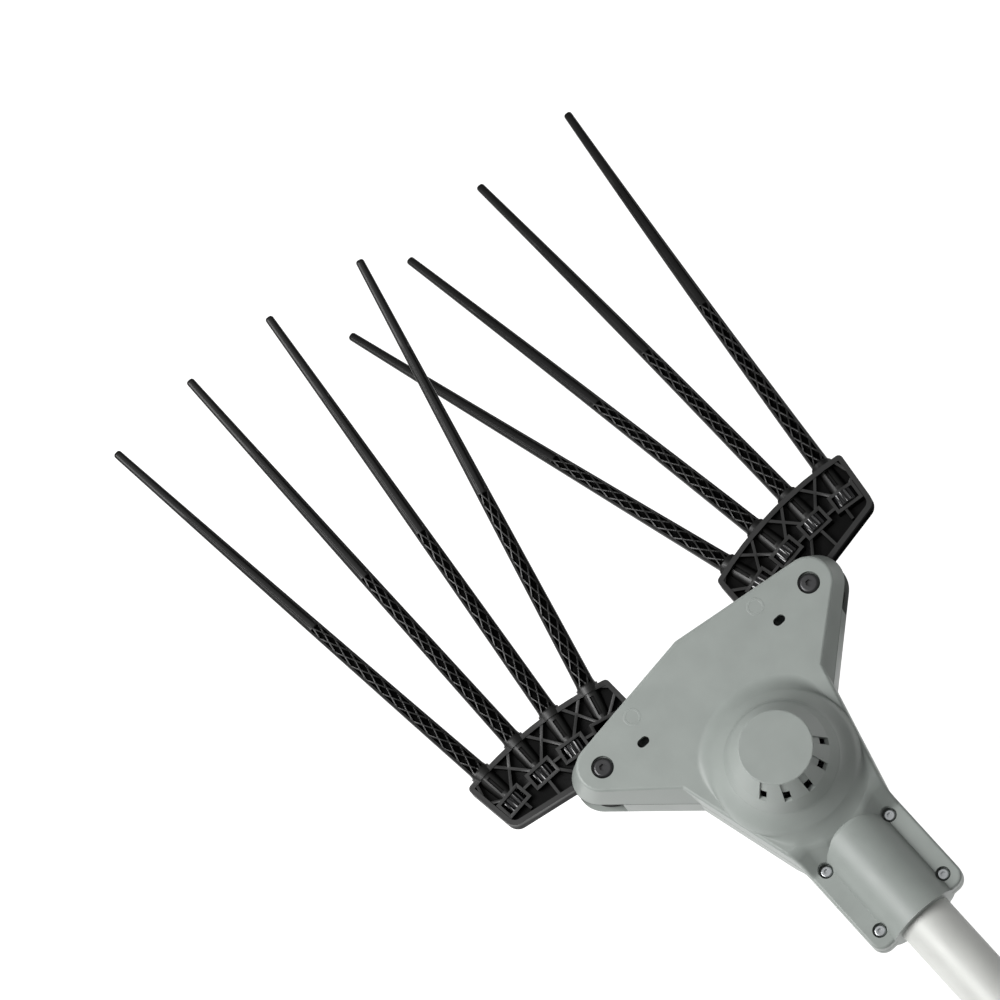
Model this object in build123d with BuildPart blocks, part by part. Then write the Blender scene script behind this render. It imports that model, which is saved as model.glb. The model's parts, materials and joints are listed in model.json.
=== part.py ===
"""Olive harvester head on the top end of its pole: two combs of long tines that beat in mirror.

Units are millimetres and degrees. The origin is the centre of the pole's free end, +Y runs along the
pole to the tines, +X is to the right and +Z is up through the motor dome. Z = 0 is the plane where the
two shells meet and where the pole's axis lies.
"""

import os
from math import acos, asin, atan2, cos, hypot, pi, radians, sin, sqrt, tan

from build123d import *

os.makedirs("parts", exist_ok=True)

# Pole and clamp
pole_d = 35.0
pole_wall = 1.5
pole_exposed = 160.0  # from the free end to the clamp
pole_seat_d = 34.5  # end turned down to a shoulder that stops at the clamp
pole_gap = 0.05  # radial, in the clamp
clamp_length = 72.0
clamp_width = 70.4
clamp_corner_r = 8.0
clamp_wall = 6.5  # over the pole
clamp_nose_r = 4.0  # rounded front of the clamp's barrel
flange_height = 8.0
clamp_screw_spread = 51.0
clamp_screw_pitch = 49.0
clamp_screw_inset = 11.0  # rear screws from the clamp's end

# Plan of the head, measured from the line through the two pivots
pivot_spacing = 167.2
neck_length = 124.5  # pivots to the clamp
front_apex = 32.0
tip_r = 17.0
tip_out = 4.9  # middle of the wing tip's arc, outward of the pivot
tip_ahead = 2.4  # and ahead of it
waist_width = 108.2
waist_back = 51.8
deck_apex = 28.3  # the upper walls lean in, so the deck's plan is smaller
deck_tip_r = 15.5
deck_tip_ahead = 0.9
deck_waist_back = 42.5
bulkhead_ahead = 10.0  # inner wall ahead of the clamp
slope_length = 14.0  # from the deck down to the clamp flange
slope_top_r = 12.0
slope_foot_r = 4.0
neck_r = 20.0  # where the neck's side meets the clamp's

# Heights of the shells
deck_height = 24.0
belly_depth = 24.0
shell_wall = 3.0
edge_round = 1.8

# Motor dome
motor_back = 73.5  # motor axis behind the pivots
dome_rise = 47.5
dome_top_r = 22.8
dome_vent_r = 30.6
dome_vent_rise = 31.0
dome_foot_r = 37.0
dome_tier_r = 46.5  # low round tier under the dome
dome_tier_rise = 11.0
dome_tier_bulge = 2.2
dome_wall = 2.5
dome_edge = 1.2
vent_count = 5
vent_step = 30.0
vent_width = 4.6
vent_depth = 1.4  # shallow channel down the dome's side
vent_hole_rise = 7.0  # open part at the channel's foot

# Combs
comb_depth = 10.5  # comb plane below the parting plane
left_toe_in = 3.4
right_toe_in = 4.4
comb_height = 14.0
comb_rim = 3.2
comb_web = 3.0
comb_corner_r = 3.0
comb_outer_r = 8.0  # outer rear corner
comb_centre = 18.4  # middle of the tine row, outward of the pivot
comb_margin = 12.5  # frame's ends outside the end tines
comb_corner_back = 5.0  # frame's front corners behind the end collars
outer_rear_x = 65.1
outer_rear_y = 11.6
inner_rear_x = 37.5
inner_rear_y = 30.0
comb_root_x = 15.0  # where the inner side meets the hub
comb_root_y = 4.0
tine_count = 4
tine_pitch = 27.7
tine_fan = 7.05
tine_tilt = 9.6
collar_reach = 56.6  # front of the two middle collars
collar_setback = 3.0  # of the two end collars
collar_stand = 1.8  # collars proud of the front band
collar_r = 7.1
collar_length = 4.4
axis_cross = 14.0  # from the collar front to where the tine's axis crosses the comb's middle plane
socket_r = 5.8
socket_slit = 2.6
window_back = 28.0  # window centre behind the collar front
window_width = 14.8
window_length = 8.3
window_rim = 2.0
rib_width = 1.8
rib_drop = 0.6  # ribs below the rim
hub_height = 10.0
hub_r = 17.0
hub_clear_r = 20.5  # ribs kept off the hub
slot_gap = 1.0  # comb to shell
mouth_wrap = 3.8  # comb mouth around the hub
mouth_inner = 38.0  # inner end of the comb mouth from the middle
mouth_back = 8.0  # rear side of the comb mouth ahead of the pivots
mouth_side_back = 6.0  # mouth in the wing's end, behind the pivots

# Tines
tine_length = 296.4
tine_root_d = 11.2
tine_tip_d = 4.8
tine_flatness = 0.86
tine_bevel = 0.27
tine_point_length = 1.6
tine_point_share = 0.7
tine_flare_length = 6.0
tine_flare_d = 13.0
tine_stem_d = 7.6
lattice_start = 5.0
lattice_length = 129.0
lattice_cells = 10
lattice_rib = 1.5
groove_length = 108.0
groove_share = 0.17  # groove's width
ridge_share = 0.16  # width of the ridge between two grooves
relief_depth = 1.3
nut_d = 14.0
nut_root_d = 12.9
nut_length = 7.4
nut_flutes = 14
stem_end = 0.6  # stem proud of its nut
thread_gap = 0.1

# Pivots
bolt_d = 6.0
bolt_hole_gap = 0.2
bolt_head_d = 12.6
bolt_head_height = 3.3
bolt_drive_across = 4.0
bolt_recess_d = 14.0
bolt_recess = 4.0
bolt_nut_across = 10.0
bolt_nut_height = 5.0
nut_pocket_gap = 0.2
sleeve_d = 12.0
bush_wall = 2.0
running_gap = 0.05
end_gap = 0.3
boss_wall = 6.0

# Clamp screws
clamp_screw_d = 4.0
clamp_screw_gap = 0.25
clamp_head_d = 7.4
clamp_head_height = 3.4
clamp_head_round = 1.0
clamp_drive_across = 3.0
clamp_recess_d = 9.2
clamp_recess = 4.6
clamp_nut_across = 7.0
clamp_nut_height = 3.2

# Drive
lever_thickness = 4.0
lever_disc_r = 14.0
lever_end_r = 7.2
rivet_d = 3.0
rivet_count = 3
rivet_circle_r = 11.2
yoke_pin_d = 6.0
yoke_pin_back = 5.2  # yoke pins behind the pivots
yoke_pin_spacing = 110.2
lever_slot_gap = 0.25
lever_slot_slack = 1.0  # along the lever, each way
port_length = 8.0  # oval port in the deck over each yoke pin
port_width = 5.4
yoke_thickness = 5.0
yoke_arm_width = 12.0
yoke_stem_width = 17.0
yoke_rim = 5.0
yoke_gap = 1.0  # lever to yoke
yoke_travel = 4.2
yoke_seat_gap = 0.3
guide_pin_d = 5.0
guide_pin_seat = 6.0
guide_gap = 0.08
guide_end_gap = 0.5
guide_post_r = 6.0
rear_guide_back = 68.0  # behind the pivots
crank_radius = 3.64
crank_gap = 0.65  # roller in the yoke's cross slot
roller_d = 20.0
roller_wall = 3.5
gear_module = 1.0
pinion_teeth = 12
gear_teeth = 48
backlash = 0.24
gear_thickness = 6.0
gear_gap = 1.5  # gear to yoke
gear_web_holes = 6
gear_web_hole_d = 7.0
gear_web_circle_r = 16.5
plate_gap = 1.5  # gear to motor plate
plate_thickness = 3.0
plate_screw_spread = 57.0
plate_front = 43.5  # front screws ahead of the motor axis
plate_rear = 30.0  # rear screws behind it
plate_ear_r = 6.5
plate_post_r = 4.0
plate_screw_d = 3.0
plate_screw_bite = 9.0
small_head_height = 2.0
crank_shaft_d = 8.0
crank_bush_d = 12.0
crank_boss_wall = 1.5
crank_boss_height = 3.5
clip_gap = 0.2
clip_height = 1.0
motor_d = 44.0
motor_length = 52.0
motor_chamfer = 2.0
motor_shaft_d = 5.0
motor_screw_spread = 25.0
motor_screw_d = 3.0
motor_screw_bite = 5.0
fan_r = 18.0
fan_blades = 8
fan_gap = 1.5
fan_height = 5.0
fan_disc = 1.2
press_gap = 0.01

# Places that follow from the sizes above
clamp_front_y = pole_exposed + clamp_length
pivot_y = clamp_front_y + neck_length
motor_y = pivot_y - motor_back
gear_distance = gear_module * (pinion_teeth + gear_teeth) / 2
crank_y = motor_y + gear_distance
pivot_x = pivot_spacing / 2
comb_z = -comb_depth
hub_top = comb_z + hub_height / 2
hub_bottom = comb_z - hub_height / 2
lever_top = hub_top + lever_thickness
sleeve_top = lever_top + end_gap
sleeve_bottom = hub_bottom - end_gap
yoke_top = hub_top - yoke_gap
yoke_bottom = yoke_top - yoke_thickness
gear_bottom = yoke_top + gear_gap
gear_top = gear_bottom + gear_thickness
plate_bottom = gear_top + plate_gap
plate_top = plate_bottom + plate_thickness
motor_top = plate_top + motor_length
dome_top = deck_height + dome_rise
clip_bottom = plate_top + crank_boss_height + clip_gap
nut_drop = (window_back - axis_cross) * sin(radians(tine_tilt))
slot_depth = comb_depth + nut_drop + nut_d / 2 + slot_gap
window_front = window_back - window_length / 2
bush_d = sleeve_d + 2 * (running_gap + bush_wall)
bolt_hole_d = bolt_d + 2 * bolt_hole_gap
boss_r = bolt_d / 2 + boss_wall
clamp_hole_d = clamp_screw_d + 2 * clamp_screw_gap
yoke_pin_y = pivot_y - yoke_pin_back
yoke_seat = yoke_bottom - yoke_seat_gap

head = Plane((0, pivot_y, 0))
side_view = Plane((0, pivot_y, 0), x_dir=(0, 1, 0), z_dir=(1, 0, 0))
clamp_end = Plane((0, pole_exposed, 0), x_dir=(-1, 0, 0), z_dir=(0, 1, 0))
motor_section = Plane((0, motor_y, 0), x_dir=(1, 0, 0), z_dir=(0, -1, 0))
motor_axis = Axis((0, motor_y, 0), (0, 0, 1))
combs = {"left": (-1, left_toe_in), "right": (1, right_toe_in)}
clamp_screw_places = [
    (x, pole_exposed + clamp_screw_inset + step * clamp_screw_pitch)
    for x in (-clamp_screw_spread / 2, clamp_screw_spread / 2)
    for step in (0, 1)
]
pivot_places = [(-pivot_x, pivot_y), (pivot_x, pivot_y)]
yoke_pin_places = [(-yoke_pin_spacing / 2, yoke_pin_y), (yoke_pin_spacing / 2, yoke_pin_y)]
guide_places = [(0, yoke_pin_y), (0, pivot_y - rear_guide_back)]
motor_screw_places = [(-motor_screw_spread / 2, motor_y), (motor_screw_spread / 2, motor_y)]
plate_screw_places = [
    (x, y)
    for x in (-plate_screw_spread / 2, plate_screw_spread / 2)
    for y in (motor_y + plate_front, motor_y - plate_rear)
]


def save(part, name):
    part.label = name
    export_step(part, f"parts/{name}.step")


def tangent_point(point, center, radius, turn):
    """Where the line from point touches the circle, on the side that turn (+1 or -1) names."""
    dx, dy = center[0] - point[0], center[1] - point[1]
    reach = sqrt(dx**2 + dy**2 - radius**2)
    angle = atan2(dy, dx) + turn * asin(radius / hypot(dx, dy))
    return point[0] + reach * cos(angle), point[1] + reach * sin(angle)


def head_outline(inset, back, deck=False):
    """Plan of the head on the pivot line, at the parting line or the deck, drawn in by inset to back."""
    lean = (waist_width - clamp_width) / 2 / (neck_length - waist_back)
    half_waist = waist_width / 2 - inset
    apex = (0, (deck_apex if deck else front_apex) - inset)
    tip = (pivot_x, deck_tip_ahead) if deck else (pivot_x + tip_out, tip_ahead)
    radius = (deck_tip_r if deck else tip_r) - inset
    waist_y = -deck_waist_back if deck else -waist_back
    waist = (half_waist + lean * (waist_y + waist_back), waist_y)
    neck = (clamp_width / 2 - inset, -neck_length)
    front = tangent_point(apex, tip, radius, 1)
    rear = tangent_point(waist, tip, radius, -1)
    with BuildSketch() as outline:
        with BuildLine():
            Line(apex, front)
            ThreePointArc(front, (tip[0] + radius, tip[1]), rear)
            if back > neck_length:
                Polyline(rear, waist, neck, (neck[0], -back), (0, -back))
            else:
                Polyline(rear, waist, (half_waist - lean * (back - waist_back), -back), (0, -back))
            mirror(about=Plane.YZ)
        make_face()
        if back > neck_length:
            fillet(outline.vertices().group_by(Axis.Y)[1], radius=neck_r)
            rear_corners = outline.vertices().group_by(Axis.Y)[0].sort_by(Axis.X)
            fillet([rear_corners[0], rear_corners[-1]], radius=clamp_corner_r)
    return outline.sketch


def shell_block(height, deck=False):
    """Solid half of the head: wings and waist, slope and clamp flange, with rounded edges and a barrel."""
    length = neck_length + clamp_length
    slope_top = (slope_length / 2 - neck_length, height)
    slope_foot = (-slope_length / 2 - neck_length, flange_height)
    with BuildPart() as barrel:
        with BuildSketch(clamp_end):
            Circle(pole_d / 2 + clamp_wall)
        extrude(amount=clamp_length)
        fillet(barrel.edges().sort_by(Axis.Y)[-1], radius=clamp_nose_r)
        split(bisect_by=Plane.XY)
    with BuildPart() as block:
        with BuildSketch(head):
            add(head_outline(0, length))
        with BuildSketch(head.offset(height)):
            add(head_outline(0, length, deck))
        loft(ruled=True)
        with BuildSketch(side_view) as profile:
            with BuildLine():
                Polyline(
                    (front_apex, 0),
                    (front_apex, height),
                    slope_top,
                    slope_foot,
                    (-length, flange_height),
                    (-length, 0),
                    close=True,
                )
            make_face()
            fillet(profile.vertices().sort_by_distance(slope_top)[0], radius=slope_top_r)
            fillet(profile.vertices().sort_by_distance(slope_foot)[0], radius=slope_foot_r)
        extrude(amount=pivot_spacing, both=True, mode=Mode.INTERSECT)
        top_faces = block.faces().filter_by(lambda face: face.normal_at().Z > 0.4)
        fillet(top_faces.edges().filter_by(Axis.X, reverse=True), radius=edge_round)
        add(barrel.part)
    return block.part


def shell_hollow(height, deck=False):
    """Room inside half of the head, up to the bulkhead before the clamp, and the pole's half bore."""
    back = neck_length - bulkhead_ahead
    with BuildPart() as hollow:
        with BuildSketch(head):
            add(head_outline(shell_wall, back))
        with BuildSketch(head.offset(height - shell_wall)):
            add(head_outline(shell_wall, back, deck))
        loft(ruled=True)
        with BuildSketch(clamp_end):
            Circle(pole_seat_d / 2 + pole_gap)
        extrude(amount=clamp_length)
    return hollow.part


def vent_bars(rise):
    """Radial bars over the vents on the rear of the dome, from the foot of its sloped side up by rise."""
    span = vent_step * (vent_count - 1)
    with BuildPart() as bars:
        with BuildSketch(Plane((0, motor_y, deck_height + dome_vent_rise))):
            with PolarLocations(dome_vent_r, vent_count, 270 - span / 2, span, endpoint=True):
                Rectangle(2 * (dome_vent_r - dome_top_r), vent_width)
        extrude(amount=rise)
    return bars.part


def vent_channels():
    """Shallow channels down the dome's sloped side, cut parallel to it."""
    reach = dome_vent_r - dome_top_r
    foot = deck_height + dome_vent_rise
    with BuildPart() as channels:
        with BuildSketch(motor_section):
            Polygon(
                (dome_vent_r - vent_depth, foot),
                (dome_vent_r + reach, foot),
                (dome_top_r + reach, dome_top),
                (dome_top_r - vent_depth, dome_top),
                align=None,
            )
        revolve(axis=motor_axis)
        add(vent_bars(dome_rise - dome_vent_rise), mode=Mode.INTERSECT)
    return channels.part


def gear_outline(teeth, shift):
    """Spur gear with involute flanks, three straight steps to a flank, first tooth at shift degrees."""
    pressure = radians(20)
    pitch_r = gear_module * teeth / 2
    base_r = pitch_r * cos(pressure)
    root_r = pitch_r - 1.25 * gear_module
    tip = pitch_r + 0.85 * gear_module
    half_tooth = pi / (2 * teeth) - backlash / (4 * pitch_r) + tan(pressure) - pressure
    flank = [max(base_r, root_r) + step / 3 * (tip - max(base_r, root_r)) for step in range(4)]
    lean = [half_tooth - tan(acos(base_r / r)) + acos(base_r / r) for r in flank]
    tooth = [(r, -a) for r, a in zip(flank, lean)]
    if root_r < base_r:
        tooth = [(root_r, -lean[0])] + tooth
    tooth += [(r, -a) for r, a in reversed(tooth)]
    points = []
    for index in range(teeth):
        middle = radians(shift) + 2 * pi * index / teeth
        points += [(r * cos(middle + a), r * sin(middle + a)) for r, a in tooth]
    with BuildSketch() as outline:
        with BuildLine():
            Polyline(*points, close=True)
        make_face()
    return outline.sketch


def tine_point(row, back, aside=0):
    """Point in the comb's plane, back along a tine's axis from its collar front and aside from it."""
    step = row - (tine_count - 1) / 2
    fan = radians(step * tine_fan)
    reach = collar_reach - (collar_setback if abs(step) > 1 else 0)
    across = comb_centre + step * tine_pitch
    return across - back * sin(fan) + aside * cos(fan), reach - back * cos(fan) - aside * sin(fan)


def socket_place(row):
    """Place of a tine's collar front on the comb, with z along the tine and x in the comb's plane."""
    fan = (row - (tine_count - 1) / 2) * tine_fan
    turn = Location((*tine_point(row, axis_cross), 0), (0, 0, -fan))
    tilt = Location((0, 0, 0), (-90 - tine_tilt, 0, 0))
    return turn * tilt * Location((0, 0, axis_cross / cos(radians(tine_tilt))))


def comb_outline(inset):
    """Plan of a comb frame on its pivot, with x outward and y forward, drawn in by inset."""
    inner_x = tine_point(0, 0)[0] - comb_margin
    outer_x = tine_point(tine_count - 1, 0)[0] + comb_margin
    corner_y = collar_reach - collar_setback - comb_corner_back
    outer_rear = (outer_rear_x, outer_rear_y)
    with BuildSketch() as outline:
        with BuildLine():
            front_middle = (comb_centre, collar_reach - collar_stand)
            ThreePointArc((inner_x, corner_y), front_middle, (outer_x, corner_y))
            Polyline(
                (outer_x, corner_y),
                outer_rear,
                (0, comb_root_y),
                (-comb_root_x, comb_root_y),
                (-inner_rear_x, inner_rear_y),
                (inner_x, corner_y),
            )
        make_face()
        fillet(outline.vertices().sort_by_distance(outer_rear)[1:], radius=comb_corner_r)
        fillet(outline.vertices().sort_by_distance(outer_rear)[0], radius=comb_outer_r)
        if inset:
            offset(amount=-inset, mode=Mode.REPLACE)
    return outline.sketch


def comb_ribs():
    """Ribs of a comb frame in plan: a cross in each bay, half crosses at the ends, struts at the rear."""
    band = collar_length
    near = window_back - window_length / 2
    far = window_back + window_length / 2
    last = tine_count - 1
    quarter = window_width / 4
    outer_x = tine_point(last, 0)[0] + comb_margin
    inner_end = (-inner_rear_x, (inner_rear_y + collar_reach - band) / 2)
    outer_end = ((outer_rear_x + outer_x) / 2, (outer_rear_y + collar_reach) / 2)
    with BuildSketch() as ribs:
        with BuildLine():
            for row in range(last):
                Line(tine_point(row, band, collar_r), tine_point(row + 1, near, -quarter))
                Line(tine_point(row + 1, band, -collar_r), tine_point(row, near, quarter))
                Line(tine_point(row, window_back), tine_point(row + 1, window_back))
            Polyline(tine_point(0, band, -collar_r), inner_end, tine_point(0, near, -quarter))
            Polyline(tine_point(last, band, collar_r), outer_end, tine_point(last, near, quarter))
            Line(tine_point(2, far), (tine_point(2, far)[0], comb_root_y))
            Line(tine_point(2, far, -window_width / 2), (hub_r / 2, hub_r / 2))
            Line(tine_point(1, far), (0, hub_r / 2))
            Line(tine_point(last, far, -quarter), tine_point(last, far + window_length, -quarter))
        trace(line_width=rib_width)
    return ribs.sketch


def comb_moulding():
    """Comb frame on its pivot: ribbed both sides, with a hub, a web, tine sockets and nut windows."""
    sockets = [Plane(socket_place(row)) for row in range(tine_count)]
    with BuildPart() as moulding:
        with BuildSketch():
            add(comb_outline(0))
        extrude(amount=comb_height / 2, both=True)
        for face in (-1, 1):
            with BuildSketch(Plane.XY.offset(face * comb_web / 2)):
                add(comb_outline(comb_rim))
            extrude(amount=face * comb_height / 2, mode=Mode.SUBTRACT)
        with BuildSketch():
            add(comb_ribs())
        extrude(amount=comb_height / 2 - rib_drop, both=True)
        for socket in sockets:
            with BuildSketch(socket.offset(window_rim - window_front)):
                Rectangle(window_width + 2 * window_rim, 2 * comb_height)
            extrude(amount=-window_length - 2 * window_rim)
        with BuildSketch():
            add(comb_outline(0))
        extrude(amount=comb_height / 2, both=True, mode=Mode.INTERSECT)
        for socket in sockets:
            with BuildSketch(socket):
                Circle(collar_r)
            extrude(amount=-collar_length)
            with BuildSketch(socket):
                Circle(socket_r)
            extrude(amount=-window_front)
        for face in (-1, 1):
            with BuildSketch(Plane.XY.offset(face * hub_height / 2)):
                Circle(hub_clear_r)
            extrude(amount=face * comb_height, mode=Mode.SUBTRACT)
        with BuildSketch():
            Circle(hub_r)
        extrude(amount=hub_height / 2, both=True)
        for socket in sockets:
            with BuildSketch(socket.offset(-window_front)):
                Rectangle(window_width, 3 * comb_height)
            extrude(amount=-window_length, mode=Mode.SUBTRACT)
            with BuildSketch(socket):
                Circle(tine_stem_d / 2 + thread_gap)
            extrude(amount=-window_back, mode=Mode.SUBTRACT)
            slit_front = collar_length + socket_slit
            slit_back = window_front - window_rim - socket_slit
            with BuildSketch(socket.offset(-slit_front)):
                Rectangle(socket_slit, 3 * comb_height)
            extrude(amount=slit_front - slit_back, mode=Mode.SUBTRACT)
    return moulding.part


def tine_section(diameter):
    """Eight-sided section of a tine, a little flatter than it is wide."""
    with BuildSketch() as section:
        Rectangle(diameter, diameter * tine_flatness)
        chamfer(section.vertices(), length=diameter * tine_bevel)
    return section.sketch


def tine_width(along):
    return tine_root_d + (tine_tip_d - tine_root_d) * along / tine_length


def tine_relief():
    """Relief on one face of a tine, with y along it: a column of diamonds, then two long grooves."""
    cell = lattice_length / lattice_cells
    groove_start = lattice_start + lattice_length
    groove_end = groove_start + groove_length
    with BuildSketch() as relief:
        for index in range(lattice_cells):
            middle = lattice_start + (index + 0.5) * cell
            half_width = tine_width(middle) / 2 - lattice_rib
            half_length = cell / 2 - lattice_rib / 2
            with Locations((0, middle)):
                Polygon((half_width, 0), (0, half_length), (-half_width, 0), (0, -half_length), align=None)
        for side in (-1, 1):
            inner = side * ridge_share / 2
            outer = inner + side * groove_share
            Polygon(
                (inner * tine_width(groove_start), groove_start),
                (outer * tine_width(groove_start), groove_start),
                (outer * tine_width(groove_end), groove_end),
                (inner * tine_width(groove_end), groove_end),
                align=None,
            )
    return relief.sketch


def tine_rod():
    """Tine with its collar at the origin and its length along z: stem, flared root, lattice, grooves."""
    floor = tine_tip_d * tine_flatness / 2 - relief_depth / 2
    with BuildPart() as rod:
        with BuildSketch():
            add(tine_section(tine_root_d))
        with BuildSketch(Plane.XY.offset(tine_length - tine_point_length)):
            add(tine_section(tine_tip_d))
        with BuildSketch(Plane.XY.offset(tine_length)):
            add(tine_section(tine_tip_d * tine_point_share))
        loft(ruled=True)
        for face in (-1, 1):
            with BuildSketch(Plane.XZ.offset(face * floor)):
                add(tine_relief())
            extrude(amount=face * tine_root_d, mode=Mode.SUBTRACT)
        flare_top_r = tine_width(tine_flare_length) * tine_flatness / 2
        up = (Align.CENTER, Align.CENTER, Align.MIN)
        Cone(tine_flare_d / 2, flare_top_r, tine_flare_length, align=up)
        with BuildSketch():
            Circle(tine_stem_d / 2)
        extrude(amount=-(window_front + nut_length + stem_end))
    return rod.part


def fluted_nut():
    """Nut on a tine's stem, behind the front wall of its window."""
    with BuildPart() as nut:
        with BuildSketch(Plane.XY.offset(-window_front)):
            with BuildLine():
                radii = (nut_d / 2, nut_root_d / 2)
                steps = [(radii[n % 2], pi * n / nut_flutes) for n in range(2 * nut_flutes)]
                Polyline(*[(r * cos(a), r * sin(a)) for r, a in steps], close=True)
            make_face()
            Circle(tine_stem_d / 2 + thread_gap, mode=Mode.SUBTRACT)
        extrude(amount=-nut_length)
    return nut.part


# Upper shell: deck, motor dome with its vents, clamp half
with BuildPart() as upper_shell:
    add(shell_block(deck_height, deck=True))
    with BuildSketch(motor_section):
        with BuildLine():
            tier_foot = Vector(dome_tier_r, deck_height)
            tier_top = Vector(dome_foot_r, deck_height + dome_tier_rise)
            outward = (tier_top - tier_foot).rotate(Axis.Z, -90).normalized()
            ThreePointArc(tier_foot, (tier_foot + tier_top) / 2 + outward * dome_tier_bulge, tier_top)
            Polyline(
                tier_top,
                (dome_vent_r, deck_height + dome_vent_rise),
                (dome_top_r, dome_top),
                (0, dome_top),
                (0, flange_height),
                (dome_tier_r, flange_height),
                tier_foot,
            )
        make_face()
    revolve(axis=motor_axis)
    fillet(upper_shell.edges().group_by(Axis.Z)[-1], radius=dome_edge)
    with BuildSketch(head):
        add(head_outline(0, neck_length + clamp_length))
    extrude(amount=dome_top, mode=Mode.INTERSECT)
    add(shell_hollow(deck_height, deck=True), mode=Mode.SUBTRACT)
    with BuildSketch(motor_section):
        with BuildLine():
            Polyline(
                (0, 0),
                (dome_foot_r - dome_wall, 0),
                (dome_foot_r - dome_wall, deck_height + dome_tier_rise),
                (dome_vent_r - dome_wall, deck_height + dome_vent_rise),
                (dome_top_r - dome_wall, dome_top - dome_wall),
                (0, dome_top - dome_wall),
                close=True,
            )
        make_face()
    revolve(axis=motor_axis, mode=Mode.SUBTRACT)
    add(vent_channels(), mode=Mode.SUBTRACT)
    add(vent_bars(vent_hole_rise), mode=Mode.SUBTRACT)
    with BuildSketch(Plane.XY.offset(sleeve_top)):
        with Locations(*pivot_places):
            Circle(boss_r)
    extrude(until=Until.NEXT)
    with BuildSketch(Plane.XY.offset(plate_top)):
        with Locations(*plate_screw_places):
            Circle(plate_post_r)
    extrude(until=Until.NEXT)
    with BuildSketch(Plane.XY.offset(plate_top)):
        with Locations(*plate_screw_places):
            Circle(plate_screw_d / 2 + press_gap)
    extrude(amount=plate_screw_bite, mode=Mode.SUBTRACT)
    with BuildSketch(Plane.XY.offset(deck_height)):
        with Locations(*yoke_pin_places):
            SlotOverall(port_length, port_width)
    extrude(amount=-shell_wall, mode=Mode.SUBTRACT)
    with Locations(*[(x, y, deck_height) for x, y in pivot_places]):
        CounterBoreHole(bolt_hole_d / 2, bolt_recess_d / 2, bolt_recess)
    with Locations(*[(x, y, flange_height) for x, y in clamp_screw_places]):
        CounterBoreHole(clamp_hole_d / 2, clamp_recess_d / 2, clamp_recess)
    with BuildSketch(Plane.XY.offset(flange_height)):
        with Locations(*clamp_screw_places):
            Circle(clamp_recess_d / 2)
    extrude(amount=deck_height - flange_height, mode=Mode.SUBTRACT)
save(upper_shell.part, "upper_shell")

# Lower shell: belly, clamp half, and the mouths from which the combs come out
with BuildPart() as lower_shell:
    add(mirror(shell_block(belly_depth), about=Plane.XY))
    add(mirror(shell_hollow(belly_depth), about=Plane.XY), mode=Mode.SUBTRACT)
    with BuildSketch(head):
        for side in (-1, 1):
            with Locations((side * pivot_x, 0)):
                Circle(hub_r + mouth_wrap)
            with Locations((side * (pivot_x + mouth_inner) / 2, front_apex)):
                Rectangle(pivot_x - mouth_inner, 2 * (front_apex - mouth_back))
            with Locations((side * (pivot_x + tip_out + tip_r / 2), front_apex)):
                Rectangle(2 * tip_r, 2 * (front_apex + mouth_side_back))
    extrude(amount=-slot_depth, mode=Mode.SUBTRACT)
    with BuildSketch(Plane.XY.offset(sleeve_bottom)):
        with Locations(*pivot_places):
            Circle(boss_r)
    extrude(amount=-(belly_depth - shell_wall / 2 + sleeve_bottom))
    with BuildSketch(Plane.XY.offset(yoke_seat)):
        with Locations(*guide_places):
            Circle(guide_post_r)
    extrude(amount=-(belly_depth - shell_wall / 2 + yoke_seat))
    with BuildSketch(Plane.XY.offset(-belly_depth)):
        with Locations(*pivot_places):
            Circle(bolt_hole_d / 2)
    extrude(amount=belly_depth, mode=Mode.SUBTRACT)
    with BuildSketch(Plane.XY.offset(-belly_depth)):
        with Locations(*pivot_places):
            RegularPolygon(bolt_nut_across / 2 + nut_pocket_gap, 6, major_radius=False)
    extrude(amount=bolt_nut_height, mode=Mode.SUBTRACT)
    with BuildSketch(Plane.XY.offset(-flange_height)):
        with Locations(*clamp_screw_places):
            Circle(clamp_hole_d / 2)
    extrude(amount=flange_height, mode=Mode.SUBTRACT)
    with BuildSketch(Plane.XY.offset(-flange_height)):
        with Locations(*clamp_screw_places):
            RegularPolygon(clamp_nut_across / 2 + nut_pocket_gap, 6, major_radius=False)
    extrude(amount=clamp_nut_height, mode=Mode.SUBTRACT)
    with BuildSketch(Plane.XY.offset(yoke_seat)):
        with Locations(*guide_places):
            Circle(guide_pin_d / 2 + press_gap)
    extrude(amount=-guide_pin_seat, mode=Mode.SUBTRACT)
save(lower_shell.part, "lower_shell")

# Pole: round tube, open at both ends, with a shoulder at the clamp
with BuildPart() as pole_tube:
    with BuildSketch(clamp_end):
        Circle(pole_d / 2)
    extrude(amount=-pole_exposed)
    with BuildSketch(clamp_end):
        Circle(pole_seat_d / 2)
    extrude(amount=clamp_length)
    with BuildSketch(clamp_end.offset(-pole_exposed)):
        Circle(pole_d / 2 - pole_wall)
    extrude(amount=pole_exposed + clamp_length, mode=Mode.SUBTRACT)
save(pole_tube.part, "pole_tube")

# Clamp screws and their nuts
with BuildPart() as clamp_screws:
    head_seat = flange_height - clamp_recess
    with BuildSketch(Plane.XY.offset(head_seat)):
        with Locations(*clamp_screw_places):
            Circle(clamp_head_d / 2)
    extrude(amount=clamp_head_height)
    fillet(clamp_screws.faces().sort_by(Axis.Z)[-4:].edges(), radius=clamp_head_round)
    with BuildSketch(Plane.XY.offset(head_seat + clamp_head_height)):
        with Locations(*clamp_screw_places):
            RegularPolygon(clamp_drive_across / 2, 6, major_radius=False)
    extrude(amount=-clamp_head_height / 2, mode=Mode.SUBTRACT)
    with BuildSketch(Plane.XY.offset(head_seat)):
        with Locations(*clamp_screw_places):
            Circle(clamp_screw_d / 2)
    extrude(amount=-(head_seat + flange_height))
save(clamp_screws.part, "clamp_screws")

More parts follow.
